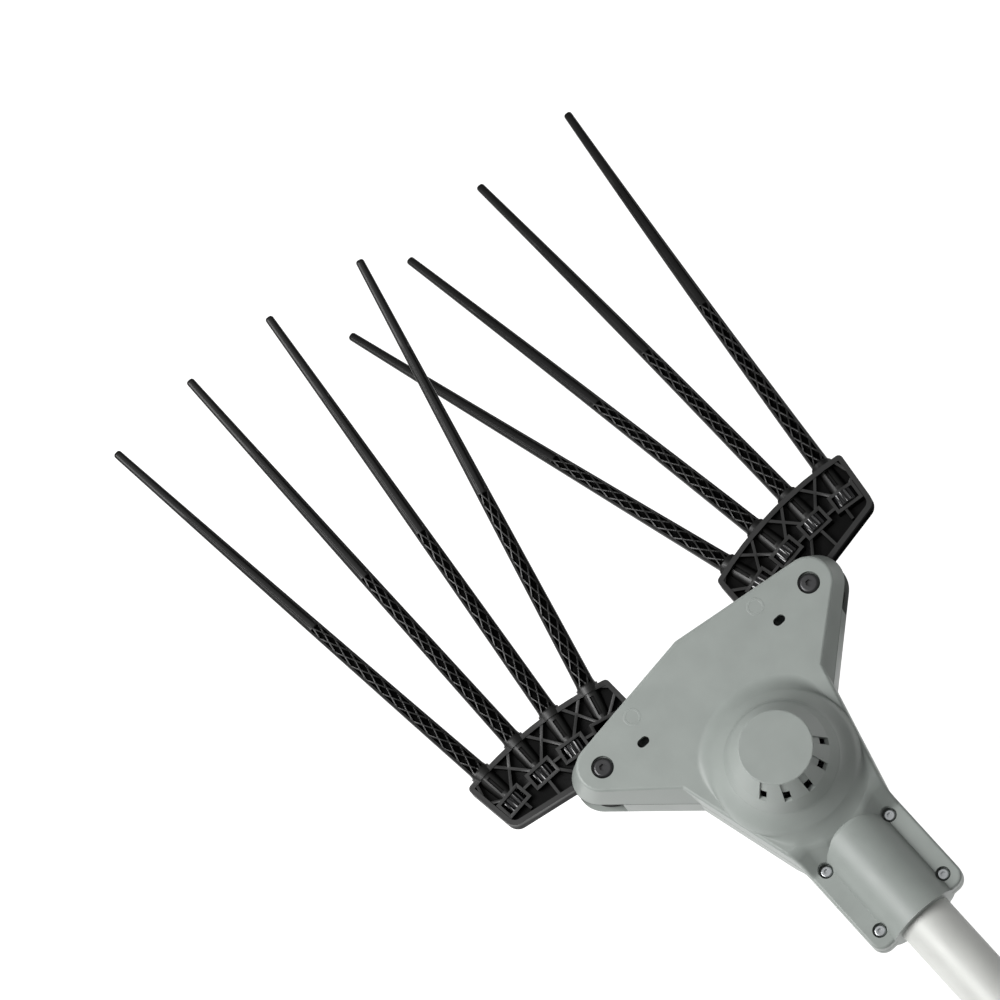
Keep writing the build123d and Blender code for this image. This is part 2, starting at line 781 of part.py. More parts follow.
with BuildPart() as clamp_nuts:
    with BuildSketch(Plane.XY.offset(-flange_height)):
        with Locations(*clamp_screw_places):
            RegularPolygon(clamp_nut_across / 2, 6, major_radius=False)
            Circle(clamp_screw_d / 2 + thread_gap, mode=Mode.SUBTRACT)
    extrude(amount=clamp_nut_height)
save(clamp_nuts.part, "clamp_nuts")

# Pivot bolts, nuts and spacer sleeves
with BuildPart() as pivot_bolts:
    bolt_seat = deck_height - bolt_recess
    with BuildSketch(Plane.XY.offset(bolt_seat)):
        with Locations(*pivot_places):
            Circle(bolt_head_d / 2)
    extrude(amount=bolt_head_height)
    fillet(pivot_bolts.faces().sort_by(Axis.Z)[-2:].edges(), radius=bolt_head_height * 0.6)
    with BuildSketch(Plane.XY.offset(bolt_seat + bolt_head_height)):
        with Locations(*pivot_places):
            RegularPolygon(bolt_drive_across / 2, 6, major_radius=False)
    extrude(amount=-bolt_head_height * 0.6, mode=Mode.SUBTRACT)
    with BuildSketch(Plane.XY.offset(bolt_seat)):
        with Locations(*pivot_places):
            Circle(bolt_d / 2)
    extrude(amount=-(bolt_seat + belly_depth))
save(pivot_bolts.part, "pivot_bolts")

with BuildPart() as pivot_nuts:
    with BuildSketch(Plane.XY.offset(-belly_depth)):
        with Locations(*pivot_places):
            RegularPolygon(bolt_nut_across / 2, 6, major_radius=False)
            Circle(bolt_d / 2 + thread_gap, mode=Mode.SUBTRACT)
    extrude(amount=bolt_nut_height)
save(pivot_nuts.part, "pivot_nuts")

with BuildPart() as pivot_sleeves:
    with BuildSketch(Plane.XY.offset(sleeve_bottom)):
        with Locations(*pivot_places):
            Circle(sleeve_d / 2)
            Circle(bolt_hole_d / 2, mode=Mode.SUBTRACT)
    extrude(amount=sleeve_top - sleeve_bottom)
save(pivot_sleeves.part, "pivot_sleeves")

# Motor plate, with the boss that carries the crank shaft, and what is fastened to it
with BuildPart() as motor_plate:
    with BuildSketch(Plane.XY.offset(plate_bottom)):
        with Locations(*plate_screw_places):
            Circle(plate_ear_r)
        make_hull()
    extrude(amount=plate_thickness)
    with BuildSketch(Plane.XY.offset(plate_top)):
        with Locations((0, crank_y)):
            Circle(crank_bush_d / 2 + crank_boss_wall)
    extrude(amount=crank_boss_height)
    with BuildSketch(Plane.XY.offset(plate_bottom)):
        with Locations((0, crank_y)):
            Circle(crank_bush_d / 2 + press_gap)
        with Locations((0, motor_y)):
            Circle(motor_shaft_d)
        with Locations(*plate_screw_places):
            Circle(plate_screw_d / 2 + thread_gap)
        with Locations(*motor_screw_places):
            Circle(motor_screw_d / 2 + thread_gap)
    extrude(amount=plate_thickness + crank_boss_height, mode=Mode.SUBTRACT)
save(motor_plate.part, "motor_plate")

with BuildPart() as plate_screws:
    with BuildSketch(Plane.XY.offset(plate_bottom)):
        with Locations(*plate_screw_places):
            Circle(plate_screw_d)
    extrude(amount=-small_head_height)
    with BuildSketch(Plane.XY.offset(plate_bottom)):
        with Locations(*plate_screw_places):
            Circle(plate_screw_d / 2)
    extrude(amount=plate_thickness + plate_screw_bite)
save(plate_screws.part, "plate_screws")

with BuildPart() as motor_screws:
    with BuildSketch(Plane.XY.offset(plate_bottom)):
        with Locations(*motor_screw_places):
            Circle(motor_screw_d)
    extrude(amount=-small_head_height)
    with BuildSketch(Plane.XY.offset(plate_bottom)):
        with Locations(*motor_screw_places):
            Circle(motor_screw_d / 2)
    extrude(amount=plate_thickness + motor_screw_bite)
save(motor_screws.part, "motor_screws")

with BuildPart() as motor_can:
    with BuildSketch(Plane.XY.offset(plate_top)):
        with Locations((0, motor_y)):
            Circle(motor_d / 2)
    extrude(amount=motor_length)
    chamfer(motor_can.faces().sort_by(Axis.Z)[-1].edges(), length=motor_chamfer)
    with BuildSketch(Plane.XY.offset(plate_top)):
        with Locations((0, motor_y)):
            Circle(motor_shaft_d / 2 + running_gap)
    extrude(amount=motor_length, mode=Mode.SUBTRACT)
    with BuildSketch(Plane.XY.offset(plate_top)):
        with Locations(*motor_screw_places):
            Circle(motor_screw_d / 2 + thread_gap)
    extrude(amount=motor_screw_bite, mode=Mode.SUBTRACT)
save(motor_can.part, "motor_can")

with BuildPart() as crank_bush:
    with BuildSketch(Plane.XY.offset(plate_bottom)):
        with Locations((0, crank_y)):
            Circle(crank_bush_d / 2)
            Circle(crank_shaft_d / 2 + running_gap, mode=Mode.SUBTRACT)
    extrude(amount=plate_thickness + crank_boss_height)
save(crank_bush.part, "crank_bush")

# Motor shaft with its pinion and cooling fan
with BuildPart() as motor_shaft:
    with BuildSketch(Plane.XY.offset(gear_bottom)):
        with Locations((0, motor_y)):
            Circle(motor_shaft_d / 2)
    extrude(amount=motor_top + fan_gap + fan_height - gear_bottom)
save(motor_shaft.part, "motor_shaft")

with BuildPart() as pinion:
    with BuildSketch(Plane((0, motor_y, gear_bottom))):
        add(gear_outline(pinion_teeth, 90))
        Circle(motor_shaft_d / 2 + press_gap, mode=Mode.SUBTRACT)
    extrude(amount=gear_thickness)
save(pinion.part, "pinion")

with BuildPart() as cooling_fan:
    with BuildSketch(Plane((0, motor_y, motor_top + fan_gap))):
        Circle(fan_r)
    extrude(amount=fan_disc)
    with BuildSketch(Plane((0, motor_y, motor_top + fan_gap))):
        Circle(motor_shaft_d)
        with PolarLocations((motor_shaft_d + fan_r) / 2, fan_blades):
            Rectangle(fan_r - motor_shaft_d + fan_disc, fan_disc)
    extrude(amount=fan_height)
    with BuildSketch(Plane((0, motor_y, motor_top + fan_gap))):
        Circle(motor_shaft_d / 2 + press_gap)
    extrude(amount=fan_height, mode=Mode.SUBTRACT)
save(cooling_fan.part, "cooling_fan")

# Crank: gear with an eccentric boss below, its shaft and clip, and the roller on the eccentric
with BuildPart() as crank_gear:
    with BuildSketch(Plane((0, crank_y, gear_bottom))):
        add(gear_outline(gear_teeth, 180 / gear_teeth - 90))
    extrude(amount=gear_thickness)
    with BuildSketch(Plane((crank_radius, crank_y, gear_bottom))):
        Circle(roller_d / 2 - roller_wall - running_gap)
    extrude(amount=-(gear_gap + yoke_thickness))
    with BuildSketch(Plane((0, crank_y, gear_top))):
        Circle(crank_shaft_d / 2 + press_gap)
    extrude(amount=-gear_thickness, mode=Mode.SUBTRACT)
    with BuildSketch(Plane((0, crank_y, gear_top))):
        with PolarLocations(gear_web_circle_r, gear_web_holes):
            Circle(gear_web_hole_d / 2)
    extrude(amount=-gear_thickness, mode=Mode.SUBTRACT)
save(crank_gear.part, "crank_gear")

with BuildPart() as crank_shaft:
    with BuildSketch(Plane((0, crank_y, gear_bottom))):
        Circle(crank_shaft_d / 2)
    extrude(amount=clip_bottom + clip_height * 2 - gear_bottom)
save(crank_shaft.part, "crank_shaft")

with BuildPart() as shaft_clip:
    with BuildSketch(Plane((0, crank_y, clip_bottom))):
        Circle(crank_bush_d / 2)
        Circle(crank_shaft_d / 2 + press_gap, mode=Mode.SUBTRACT)
    extrude(amount=clip_height)
save(shaft_clip.part, "shaft_clip")

with BuildPart() as crank_roller:
    with BuildSketch(Plane((crank_radius, crank_y, yoke_bottom))):
        Circle(roller_d / 2)
        Circle(roller_d / 2 - roller_wall, mode=Mode.SUBTRACT)
    extrude(amount=yoke_thickness)
save(crank_roller.part, "crank_roller")

# Yoke: sliding plate with a cross slot for the roller, guide slots and an arm to each lever
with BuildPart() as yoke_plate:
    slot_width = roller_d + 2 * crank_gap
    slot_length = slot_width + 2 * crank_radius
    guide_width = guide_pin_d + 2 * guide_gap
    guide_length = guide_pin_d + 2 * (yoke_travel + guide_end_gap)
    with BuildSketch(Plane.XY.offset(yoke_bottom)):
        with Locations((0, crank_y)):
            SlotOverall(slot_length + 2 * yoke_rim, slot_width + 2 * yoke_rim)
        with BuildLine():
            Line(*guide_places)
        trace(line_width=yoke_stem_width)
        with Locations(*guide_places):
            Circle(guide_length / 2 + yoke_rim)
        with Locations((0, yoke_pin_y)):
            SlotOverall(yoke_pin_spacing + yoke_arm_width, yoke_arm_width)
        with Locations((0, crank_y)):
            SlotOverall(slot_length, slot_width, mode=Mode.SUBTRACT)
        with Locations(*guide_places):
            SlotOverall(guide_length, guide_width, rotation=90, mode=Mode.SUBTRACT)
        with Locations(*yoke_pin_places):
            Circle(yoke_pin_d / 2 + press_gap, mode=Mode.SUBTRACT)
    extrude(amount=yoke_thickness)
save(yoke_plate.part, "yoke_plate")

with BuildPart() as yoke_pins:
    with BuildSketch(Plane.XY.offset(yoke_bottom)):
        with Locations(*yoke_pin_places):
            Circle(yoke_pin_d / 2)
    extrude(amount=lever_top - yoke_bottom)
save(yoke_pins.part, "yoke_pins")

with BuildPart() as guide_pins:
    with BuildSketch(Plane.XY.offset(yoke_seat - guide_pin_seat)):
        with Locations(*guide_places):
            Circle(guide_pin_d / 2)
    extrude(amount=guide_pin_seat + yoke_seat_gap + yoke_thickness)
save(guide_pins.part, "guide_pins")

moulding = comb_moulding()
nut = fluted_nut()
rod = tine_rod()

for name, (side, toe_in) in combs.items():
    turn = radians(toe_in)
    comb_plane = Plane((side * pivot_x, pivot_y, comb_z), (side * cos(turn), sin(turn), 0), (0, 0, side))
    socket_places = [comb_plane.location * socket_place(row) for row in range(tine_count)]
    lever_reach = (side * (yoke_pin_spacing / 2 - pivot_x), -yoke_pin_back, 0)
    lever_arm = hypot(*lever_reach)
    pivot_plane = Plane((side * pivot_x, pivot_y, hub_bottom), lever_reach, (0, 0, 1))

    # Comb frame: the same moulding on both sides, turned over, bored for its bush and rivets
    with BuildPart() as comb_frame:
        with Locations(comb_plane):
            add(moulding)
        with BuildSketch(pivot_plane):
            Circle(bush_d / 2 + press_gap)
            with PolarLocations(rivet_circle_r, rivet_count, 180 / rivet_count):
                Circle(rivet_d / 2 + press_gap)
        extrude(amount=hub_height, mode=Mode.SUBTRACT)
    save(comb_frame.part, f"{name}_comb_frame")

    # Bush and drive lever, riveted to the hub
    with BuildPart() as comb_bush:
        with BuildSketch(pivot_plane):
            Circle(bush_d / 2)
            Circle(sleeve_d / 2 + running_gap, mode=Mode.SUBTRACT)
        extrude(amount=hub_height + lever_thickness)
    save(comb_bush.part, f"{name}_comb_bush")

    with BuildPart() as drive_lever:
        slot_width = yoke_pin_d + 2 * lever_slot_gap
        with BuildSketch(pivot_plane.offset(hub_height)):
            Circle(lever_disc_r)
            with Locations((lever_arm, 0)):
                Circle(lever_end_r)
            make_hull()
            Circle(bush_d / 2 + press_gap, mode=Mode.SUBTRACT)
            with PolarLocations(rivet_circle_r, rivet_count, 180 / rivet_count):
                Circle(rivet_d / 2 + press_gap, mode=Mode.SUBTRACT)
            with Locations((lever_arm, 0)):
                SlotOverall(slot_width + 2 * lever_slot_slack, slot_width, mode=Mode.SUBTRACT)
        extrude(amount=lever_thickness)
    save(drive_lever.part, f"{name}_drive_lever")

    with BuildPart() as lever_rivets:
        with BuildSketch(pivot_plane):
            with PolarLocations(rivet_circle_r, rivet_count, 180 / rivet_count):
                Circle(rivet_d / 2)
        extrude(amount=hub_height + lever_thickness)
    save(lever_rivets.part, f"{name}_lever_rivets")

    # Tines in their sockets, and the nuts that hold them
    with BuildPart() as tine_nuts:
        with Locations(*socket_places):
            add(nut)
    save(tine_nuts.part, f"{name}_tine_nuts")

    for row, place in enumerate(socket_places):
        with BuildPart() as tine:
            with Locations(place):
                add(rod)
        save(tine.part, f"{name}_tine_{row + 1}")
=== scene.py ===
import json
import bpy
import bmesh
import numpy as np
from mathutils import Matrix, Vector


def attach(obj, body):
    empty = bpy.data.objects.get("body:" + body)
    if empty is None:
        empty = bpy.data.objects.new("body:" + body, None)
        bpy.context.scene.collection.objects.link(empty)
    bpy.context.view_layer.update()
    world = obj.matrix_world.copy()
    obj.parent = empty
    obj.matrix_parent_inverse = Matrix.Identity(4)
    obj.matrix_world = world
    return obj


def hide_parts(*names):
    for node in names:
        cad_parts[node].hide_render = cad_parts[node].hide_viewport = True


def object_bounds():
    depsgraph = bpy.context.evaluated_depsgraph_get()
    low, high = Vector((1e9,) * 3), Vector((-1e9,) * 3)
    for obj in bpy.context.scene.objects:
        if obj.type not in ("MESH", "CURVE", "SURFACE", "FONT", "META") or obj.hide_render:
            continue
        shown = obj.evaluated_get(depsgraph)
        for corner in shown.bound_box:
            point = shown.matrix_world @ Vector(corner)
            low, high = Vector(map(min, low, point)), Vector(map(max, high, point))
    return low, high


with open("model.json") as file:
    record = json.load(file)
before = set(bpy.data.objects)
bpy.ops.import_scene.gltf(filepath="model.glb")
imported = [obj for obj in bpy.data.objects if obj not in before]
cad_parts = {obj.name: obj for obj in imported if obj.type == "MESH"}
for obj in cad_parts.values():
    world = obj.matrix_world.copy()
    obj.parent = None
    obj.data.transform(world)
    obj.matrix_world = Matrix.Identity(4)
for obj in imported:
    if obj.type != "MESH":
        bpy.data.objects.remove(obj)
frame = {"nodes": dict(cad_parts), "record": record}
cadBox = [list(corner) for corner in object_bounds()]
nodes = frame["nodes"]
bodyOf = {node: body for body, group in frame["record"]["behaviour"]["bodies"].items() for node in group}
slotOf = {part["node"]: part["material_slot"] for part in frame["record"]["subparts"]}
sides = ("left", "right")
tineNodes = {side: [f"{side}_tine_{number}" for number in (1, 2, 3, 4)] for side in sides}
print("frame loaded:", len(nodes), "nodes")


def unit(way):
    # the same direction, one long
    return way / np.linalg.norm(way)


def addObject(name, data):
    holder = bpy.data.objects.new(name, data)
    bpy.context.scene.collection.objects.link(holder)
    return holder


def placeAt(holder, axes, spot):
    # columns of axes are the object's own right, up and back
    place = np.eye(4)
    place[:3, :3], place[:3, 3] = axes, spot
    holder.matrix_world = Matrix(place.tolist())


# camera: looks down on the head from behind, turned so that the pole leaves at the lower right
view = {"pitch": 15.37, "yaw": 1.81, "roll": 0.39, "turn": 41.9, "distance": 6.0, "lens": 356.4,
        "sensor": 36.0, "clip": 40.0, "aim": (0.0, 0.3565, 0.0), "aside": 0.0212, "ahead": 0.1678}


def turnAbout(axis, degrees):
    # plane rotation by the given angle, written into the two rows that the axis leaves free
    angle = np.radians(degrees)
    one, two = [(1, 2), (2, 0), (0, 1)][axis]
    turned = np.eye(3)
    turned[one, one] = turned[two, two] = np.cos(angle)
    turned[one, two], turned[two, one] = -np.sin(angle), np.sin(angle)
    return turned


def placeCamera():
    # rows of look are the picture's right, up and back; turn spins the picture about its middle
    look = turnAbout(2, view["roll"]) @ turnAbout(0, -view["pitch"]) @ turnAbout(1, view["yaw"])
    spot = look.T @ np.array([-view["aside"], view["ahead"], view["distance"]]) + np.array(view["aim"])
    look = turnAbout(2, view["turn"]) @ look
    lens = bpy.data.cameras.new("photoLens")
    lens.lens, lens.sensor_width = view["lens"], view["sensor"]
    lens.clip_end = view["clip"]
    camera = addObject("photoCamera", lens)
    placeAt(camera, look.T, spot)
    bpy.context.scene.camera = camera


placeCamera()
print("camera placed")


# studio: a pale sheet well below the head, a big soft key from the head's left and a broad weak lamp above;
# a dark card low on the right, which the lens doesn't see, keeps the floor's light off the shaded walls
studio = {"floorDrop": 0.30, "floorSize": 14.0, "floorColor": (0.60, 0.60, 0.597), "floorGlow": 0.74,
          "paperRough": 0.9, "worldColor": (1.0, 1.0, 1.0), "worldStrength": 0.14,
          "cardAcross": (0.10, 0.19), "cardAlong": (0.0, 0.50), "cardDrop": 0.03,
          "cardColor": (0.03, 0.03, 0.03), "cardGlow": 0.0}
lamps = {
    "keyLamp": {"spot": (-1.12, 0.86, 1.46), "aim": (0.0, 0.40, 0.0), "size": 1.2, "power": 36.0},
    "topLamp": {"spot": (-0.2, 0.9, 2.4), "aim": (0.0, 0.4, 0.0), "size": 3.0, "power": 10.0},
}


def layPaper(name, across, along, low, color, glow):
    # flat sheet over the given spans, with a mat paper on it
    corners = [(across[0], along[0], low), (across[1], along[0], low),
               (across[1], along[1], low), (across[0], along[1], low)]
    sheet = bpy.data.meshes.new(name)
    sheet.from_pydata(corners, [], [(0, 1, 2, 3)])
    paper = bpy.data.materials.new(name + "Paper")
    paper.use_nodes = True
    skin = paper.node_tree.nodes["Principled BSDF"]
    skin.inputs["Base Color"].default_value = (*color, 1)
    skin.inputs["Roughness"].default_value = studio["paperRough"]
    skin.inputs["Emission Color"].default_value = (1, 1, 1, 1)
    skin.inputs["Emission Strength"].default_value = glow
    sheet.materials.append(paper)
    holder = addObject(name, sheet)
    return holder


def hangLamp(name, lamp):
    # disk lamp at its spot, with its back turned away from its aim
    light = bpy.data.lights.new(name, "AREA")
    light.shape, light.size, light.energy = "DISK", lamp["size"], lamp["power"]
    spot = np.array(lamp["spot"])
    back = unit(spot - np.array(lamp["aim"]))
    right = unit(np.cross((0, 1, 0), back))
    placeAt(addObject(name, light), np.stack([right, np.cross(back, right), back], axis=1), spot)


def buildStudio():
    half = studio["floorSize"] / 2
    low = cadBox[0][2]
    layPaper("studioFloor", (-half, half), (-half, half), low - studio["floorDrop"],
             studio["floorColor"], studio["floorGlow"])
    card = layPaper("darkCard", studio["cardAcross"], studio["cardAlong"], low - studio["cardDrop"],
                    studio["cardColor"], studio["cardGlow"])
    card.visible_camera = card.visible_shadow = False
    world = bpy.data.worlds.new("studioWorld")
    world.use_nodes = True
    air = world.node_tree.nodes["Background"]
    air.inputs["Color"].default_value = (*studio["worldColor"], 1)
    air.inputs["Strength"].default_value = studio["worldStrength"]
    bpy.context.scene.world = world
    bpy.context.scene.view_settings.view_transform = "Standard"
    for name, lamp in lamps.items():
        hangLamp(name, lamp)


buildStudio()
print("studio lit")


# finishes: colour, how much it drifts, gloss and its drift, and a grain that may run along one axis; the
# painted shade is where the height is read, its span, and the shares of colour and gloss at both ends of it
finishes = {
    "housing_plastic": {"color": (0.314, 0.342, 0.323), "drift": 0.04, "rough": (0.38, 0.48), "metal": 0.0,
                        "grain": 2600, "run": (1, 1, 1), "bump": 0.10, "depth": 0.00006},
    "comb_nylon": {"color": (0.014, 0.014, 0.0135), "drift": 0.25, "rough": (0.36, 0.48), "metal": 0.0,
                   # painted shade: the comb's bays are painted dark and dull, its rib tops lighter, its
                   # upright walls darker
                   "paintedShade": ("level", -0.0095, -0.0048, 0.05, 0.58), "walls": 0.30,
                   "grain": 1500, "run": (1, 1, 1), "bump": 0.16, "depth": 0.00008},
    "tine_nylon": {"color": (0.016, 0.016, 0.0155), "drift": 0.25, "rough": (0.34, 0.44), "metal": 0.0,
                   # painted shade: the net's pockets are painted dark and dull, its strands lighter
                   "paintedShade": ("relief", 0.0, 1.0, 0.03, 0.62),
                   "grain": 1200, "run": (1, 0.15, 1), "bump": 0.10, "depth": 0.00006},
    "pole_aluminium": {"color": (0.67, 0.68, 0.65), "drift": 0.03, "rough": (0.46, 0.54), "metal": 0.10,
                       "grain": 2400, "run": (1, 0.01, 1), "bump": 0.08, "depth": 0.00004},
    "zinc_steel": {"color": (0.50, 0.52, 0.53), "drift": 0.08, "rough": (0.22, 0.34), "metal": 1.0,
                   "grain": 1800, "run": (1, 1, 1), "bump": 0.08, "depth": 0.00004},
    "ground_steel": {"color": (0.60, 0.61, 0.62), "drift": 0.05, "rough": (0.16, 0.26), "metal": 1.0,
                     "grain": 2600, "run": (1, 1, 0.05), "bump": 0.06, "depth": 0.00003},
    "gear_steel": {"color": (0.42, 0.42, 0.43), "drift": 0.10, "rough": (0.26, 0.40), "metal": 1.0,
                   "grain": 1600, "run": (1, 1, 1), "bump": 0.08, "depth": 0.00004},
    "lever_steel": {"color": (0.50, 0.51, 0.52), "drift": 0.08, "rough": (0.30, 0.42), "metal": 1.0,
                    "grain": 1600, "run": (0.1, 1, 1), "bump": 0.08, "depth": 0.00004},
    "nut_chrome": {"color": (0.010, 0.010, 0.011), "drift": 0.10, "rough": (0.14, 0.20), "metal": 0.0,
                   "shine": 1.0, "grain": 900, "run": (1, 1, 1), "bump": 0.02, "depth": 0.00002},
    "black_steel": {"color": (0.060, 0.060, 0.062), "drift": 0.15, "rough": (0.28, 0.40), "metal": 0.6,
                    "grain": 1500, "run": (1, 1, 1), "bump": 0.06, "depth": 0.00004},
    "bush_bronze": {"color": (0.52, 0.36, 0.18), "drift": 0.12, "rough": (0.30, 0.44), "metal": 1.0,
                    "grain": 2400, "run": (1, 1, 1), "bump": 0.12, "depth": 0.00004},
    "plate_aluminium": {"color": (0.70, 0.71, 0.71), "drift": 0.06, "rough": (0.32, 0.45), "metal": 1.0,
                        "grain": 1800, "run": (0.06, 1, 1), "bump": 0.08, "depth": 0.00004},
    "motor_steel": {"color": (0.45, 0.46, 0.47), "drift": 0.06, "rough": (0.30, 0.40), "metal": 1.0,
                    "grain": 1500, "run": (1, 1, 0.1), "bump": 0.06, "depth": 0.00004},
    "seam_shadow": {"color": (0.055, 0.060, 0.056), "drift": 0.20, "rough": (0.60, 0.80), "metal": 0.0,
                    "grain": 1600, "run": (1, 1, 1), "bump": 0.05, "depth": 0.00002},
    "fan_plastic": {"color": (0.03, 0.03, 0.03), "drift": 0.20, "rough": (0.40, 0.52), "metal": 0.0,
                    "grain": 1600, "run": (1, 1, 1), "bump": 0.10, "depth": 0.00005},
}
# texture: the noises that all finishes share, the usual shine, and the lean over which the painted shade of
# upright walls comes in
texture = {"broad": 55.0, "broadDetail": 4.0, "band": (0.3, 0.7), "grainDetail": 3.0, "shine": 0.5,
           "upright": (0.0, 0.6)}
# a mix node's colour sockets go by number, because they share their names with other sockets
mixSockets = {"one": 6, "two": 7, "result": 2}


def addNoise(tree, vector, scale, detail):
    noise = tree.nodes.new("ShaderNodeTexNoise")
    noise.inputs["Scale"].default_value = scale
    noise.inputs["Detail"].default_value = detail
    tree.links.new(vector, noise.inputs["Vector"])
    return noise.outputs["Fac"]


def addRange(tree, value, span, result):
    # the value's span is mapped to the result's and held at its ends
    spread = tree.nodes.new("ShaderNodeMapRange")
    spread.inputs["From Min"].default_value, spread.inputs["From Max"].default_value = span
    spread.inputs["To Min"].default_value, spread.inputs["To Max"].default_value = result
    tree.links.new(value, spread.inputs["Value"])
    return spread.outputs["Result"]


def addSplit(tree, vector, axis):
    split = tree.nodes.new("ShaderNodeSeparateXYZ")
    tree.links.new(vector, split.inputs["Vector"])
    return split.outputs[axis]


def addPaintedShade(tree, look, color, place):
    # painted shade: hollows are painted dark and dull, and what stands out is left lighter and glossier, as
    # if
    # lit: the height comes from z, or from the map's u; upright walls keep only a share, as painted shade
    kind, low, high, shadedGain, litGain = look["paintedShade"]
    source, axis = ("Object", "Z") if kind == "level" else ("UV", "X")
    paintedShade = addRange(tree, addSplit(tree, place.outputs[source], axis), (low, high), (shadedGain, litGain))
    if "walls" in look:
        face = tree.nodes.new("ShaderNodeNewGeometry")
        lean = addSplit(tree, face.outputs["Normal"], "Z")
        both = tree.nodes.new("ShaderNodeMath")
        both.operation = "MULTIPLY"
        tree.links.new(paintedShade, both.inputs[0])
        tree.links.new(addRange(tree, lean, texture["upright"], (look["walls"], 1.0)), both.inputs[1])
        paintedShade = both.outputs["Value"]
    shade = tree.nodes.new("ShaderNodeMix")
    shade.data_type, shade.blend_type = "RGBA", "MULTIPLY"
    shade.inputs["Factor"].default_value = 1.0
    tree.links.new(color, shade.inputs[mixSockets["one"]])
    tree.links.new(paintedShade, shade.inputs[mixSockets["two"]])
    return shade.outputs[mixSockets["result"]], paintedShade


def makeFinish(name, look):
    # colour and gloss follow a broad noise, and the bump a fine one, stretched along the finish's run
    paint = bpy.data.materials.new(name + "_finish")
    paint.use_nodes = True
    tree = paint.node_tree
    skin = tree.nodes["Principled BSDF"]
    place = tree.nodes.new("ShaderNodeTexCoord")
    broad = addNoise(tree, place.outputs["Object"], texture["broad"], texture["broadDetail"])
    tone = tree.nodes.new("ShaderNodeValToRGB")
    gains = (1 - look["drift"], 1 + look["drift"])
    for stop, gain, spot in zip(tone.color_ramp.elements, gains, texture["band"]):
        stop.color = (*[min(1.0, channel * gain) for channel in look["color"]], 1)
        stop.position = spot
    tree.links.new(broad, tone.inputs["Fac"])
    tree.links.new(addRange(tree, broad, texture["band"], look["rough"]), skin.inputs["Roughness"])
    run = tree.nodes.new("ShaderNodeMapping")
    run.inputs["Scale"].default_value = look["run"]
    tree.links.new(place.outputs["Object"], run.inputs["Vector"])
    bump = tree.nodes.new("ShaderNodeBump")
    bump.inputs["Strength"].default_value = look["bump"]
    bump.inputs["Distance"].default_value = look["depth"]
    grain = addNoise(tree, run.outputs["Vector"], look["grain"], texture["grainDetail"])
    tree.links.new(grain, bump.inputs["Height"])
    tree.links.new(bump.outputs["Normal"], skin.inputs["Normal"])
    skin.inputs["Metallic"].default_value = look["metal"]
    skin.inputs["Specular IOR Level"].default_value = look.get("shine", texture["shine"])
    color = tone.outputs["Color"]
    # painted shade: it darkens the colour and sets the gloss
    if "paintedShade" in look:
        color, paintedShade = addPaintedShade(tree, look, color, place)
        tree.links.new(paintedShade, skin.inputs["Specular IOR Level"])
    tree.links.new(color, skin.inputs["Base Color"])
    return paint


paints = {name: makeFinish(name, look) for name, look in finishes.items()}
for node, item in nodes.items():
    item.data.materials.clear()
    item.data.materials.append(paints[slotOf[node]])
print("finishes:", len(paints))


def nodePoints(name):
    # a node's points, one in each row
    spots = np.empty(len(nodes[name].data.vertices) * 3)
    nodes[name].data.vertices.foreach_get("co", spots)
    return spots.reshape(-1, 3)


def middleOf(points):
    # middle of the box round the points
    return (points.min(0) + points.max(0)) / 2


def ease(share):
    # smooth step: 0 below 0, 1 above 1, flat at both ends
    share = np.clip(share, 0.0, 1.0)
    return share * share * (3 - 2 * share)


def fullTurn(steps):
    # angles in equal steps round a full turn
    return np.linspace(0, 2 * np.pi, steps, endpoint=False)


def smoothMesh(mesh, sharp, paint):
    # smooth faces, edges that stay sharp past an angle, and one paint
    mesh.polygons.foreach_set("use_smooth", np.ones(len(mesh.polygons), bool))
    mesh.set_sharp_from_angle(angle=np.radians(sharp))
    mesh.materials.clear()
    mesh.materials.append(paint)


def skinGrid(name, grids, paint, ring=False, flat=False, sharp=45, height=None):
    # a grid holds rows of places round the piece; its cells become quads, and its end rows close in fans
    # to their own middle, or in strips from their first half to their second where they are flat, or on a
    # ring the last row joins the first; a grid that came out inside out is turned round; a share of painted
    # light for each point goes into the map's u
    spots, faces, start = [], [], 0
    for grid in grids:
        rows, around = grid.shape[:2]
        row, place = np.meshgrid(np.arange(rows if ring else rows - 1), np.arange(around), indexing="ij")
        here, there = row * around, (row + 1) % rows * around
        after = (place + 1) % around
        quads = np.stack([here + place, here + after, there + after, there + place], -1).reshape(-1, 4)
        points = grid.reshape(-1, 3)
        corners = points[quads] - points.mean(0)
        volume = np.einsum("ij,ij->", corners[:, 0], np.cross(corners[:, 1], corners[:, 2]))
        volume += np.einsum("ij,ij->", corners[:, 0], np.cross(corners[:, 2], corners[:, 3]))
        caps = np.empty((0, 3), int)
        last = (rows - 1) * around
        if flat:
            one = np.arange(around // 2 - 1)
            first = np.stack([one + 1, one, around - 1 - one, around - 2 - one], -1)
            caps = np.concatenate([first, first[:, ::-1] + last])
        elif not ring:
            one, two = np.arange(around), (np.arange(around) + 1) % around
            hub = np.full(around, len(points))
            first, second = np.stack([two, one, hub], -1), np.stack([one + last, two + last, hub + 1], -1)
            caps = np.concatenate([first, second])
            points = np.concatenate([points, grid[:1].mean(1), grid[-1:].mean(1)])
        if volume < 0:
            quads, caps = quads[:, ::-1], caps[:, ::-1]
        faces += (quads + start).tolist() + (caps + start).tolist()
        spots.append(points)
        start += len(points)
    mesh = bpy.data.meshes.new(name)
    mesh.from_pydata(np.concatenate(spots).tolist(), [], faces)
    smoothMesh(mesh, sharp, paint)
    if height is not None:
        loops = np.empty(len(mesh.loops), int)
        mesh.loops.foreach_get("vertex_index", loops)
        across = np.concatenate([height.ravel(), height[:1].mean(1), height[-1:].mean(1)])[loops]
        relief = mesh.uv_layers.new(name="relief")
        relief.data.foreach_set("uv", np.stack([across, np.zeros_like(across)], -1).ravel())
    return addObject(name, mesh)


